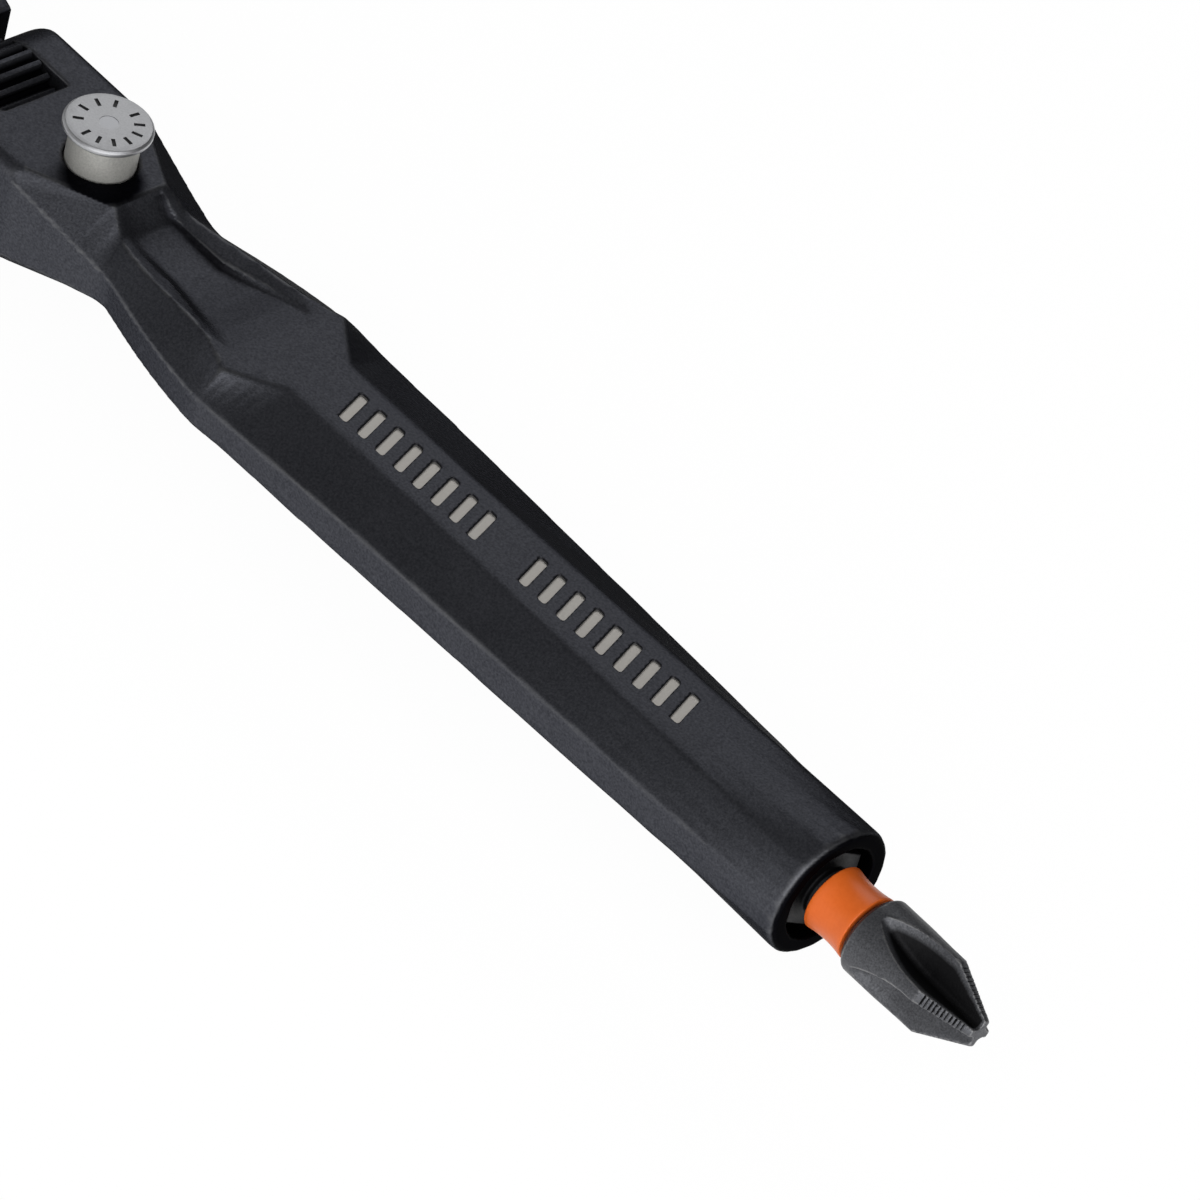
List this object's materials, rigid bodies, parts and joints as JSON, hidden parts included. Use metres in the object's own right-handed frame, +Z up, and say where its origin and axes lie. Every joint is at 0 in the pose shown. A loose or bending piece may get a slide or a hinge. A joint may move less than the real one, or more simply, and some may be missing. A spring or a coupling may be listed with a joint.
{
  "type": "mini ratchet",
  "caption": "Slim locking flex-head ratchet with a quarter-inch square drive, reversing lever, release button and a driver bit stored in the base.",
  "frame": {"origin": "centre of the square drive's end face", "axes": "+X from the drive along the handle to the stored bit, +Z up, opposite to the way the drive points"},
  "size_m": [0.1409, 0.023, 0.0202],
  "materials": {
    "coated_steel": "matte black coating with a fine grain",
    "zinc_steel": "satin zinc",
    "bright_steel": "ground and polished",
    "blued_steel": "oiled black oxide",
    "phosphate_steel": "dark phosphate",
    "spring_steel": "drawn wire",
    "orange_band": "satin orange"
  },
  "bodies": {
    "handle": {"handle": "coated_steel", "pivot_pin": "blued_steel", "lock_spring": "spring_steel", "bit_magnet": "bright_steel"},
    "head": {"head_body": "coated_steel", "cover_plate": "coated_steel", "cover_screw_1": "blued_steel", "cover_screw_2": "blued_steel", "cover_screw_3": "blued_steel", "pawl_pin": "bright_steel"},
    "drive": {"drive_gear": "bright_steel", "detent_spring": "spring_steel"},
    "ball": {"detent_ball": "bright_steel"},
    "selector": {"selector_lever": "coated_steel", "selector_clip": "spring_steel", "pusher_spring": "spring_steel"},
    "pawl": {"pawl": "blued_steel"},
    "pusher": {"pawl_pusher": "bright_steel"},
    "button": {"release_button": "zinc_steel"},
    "lock": {"lock_plunger": "blued_steel"},
    "bit": {"driver_bit": "phosphate_steel", "bit_band": "orange_band"}
  },
  "joints": [
    {"name": "head_flex", "type": "hinge", "parent": "handle", "child": "head", "pos_m": [0.019, 0, 0.0122], "axis": [0, 1, 0], "range_deg": [-90, 90]},
    {"name": "drive_spin", "type": "hinge", "parent": "head", "child": "drive", "pos_m": [0, 0, 0.0122], "axis": [0, 0, 1], "continuous": true},
    {"name": "ball_press", "type": "slide", "parent": "drive", "child": "ball", "axis": [0, 1, 0], "range_m": [0, 0.00045], "stiffness_N_per_m": 4000, "springref_m": -0.0003, "deforming": ["detent_spring"]},
    {"name": "selector_turn", "type": "hinge", "parent": "head", "child": "selector", "pos_m": [0.0106, 0, 0.0122], "axis": [0, 0, 1], "range_deg": [0, 50]},
    {"name": "pawl_rock", "type": "hinge", "parent": "head", "child": "pawl", "pos_m": [0.00755, 0, 0.0122], "axis": [0, 0, 1], "range_deg": [-7, 0]},
    {"name": "pusher_press", "type": "slide", "parent": "selector", "child": "pusher", "axis": [0.9063, -0.4226, 0], "range_m": [0, 0.0004], "stiffness_N_per_m": 1500, "springref_m": -0.0003, "deforming": ["pusher_spring"]},
    {"name": "release_press", "type": "slide", "parent": "handle", "child": "button", "axis": [0, 0, -1], "range_m": [0, 0.0013], "stiffness_N_per_m": 3000, "springref_m": -0.0006, "deforming": ["lock_spring"]},
    {"name": "lock_slide", "type": "slide", "parent": "handle", "child": "lock", "axis": [1, 0, 0], "range_m": [0, 0.0009], "deforming": ["lock_spring"]},
    {"name": "bit_pull", "type": "slide", "parent": "handle", "child": "bit", "axis": [1, 0, 0], "range_m": [0, 0.012]}
  ],
  "couplings": [
    {"joint": "pawl_rock", "follows": "selector_turn", "ratio": -0.14},
    {"joint": "lock_slide", "follows": "release_press", "ratio": 0.69231}
  ]
}
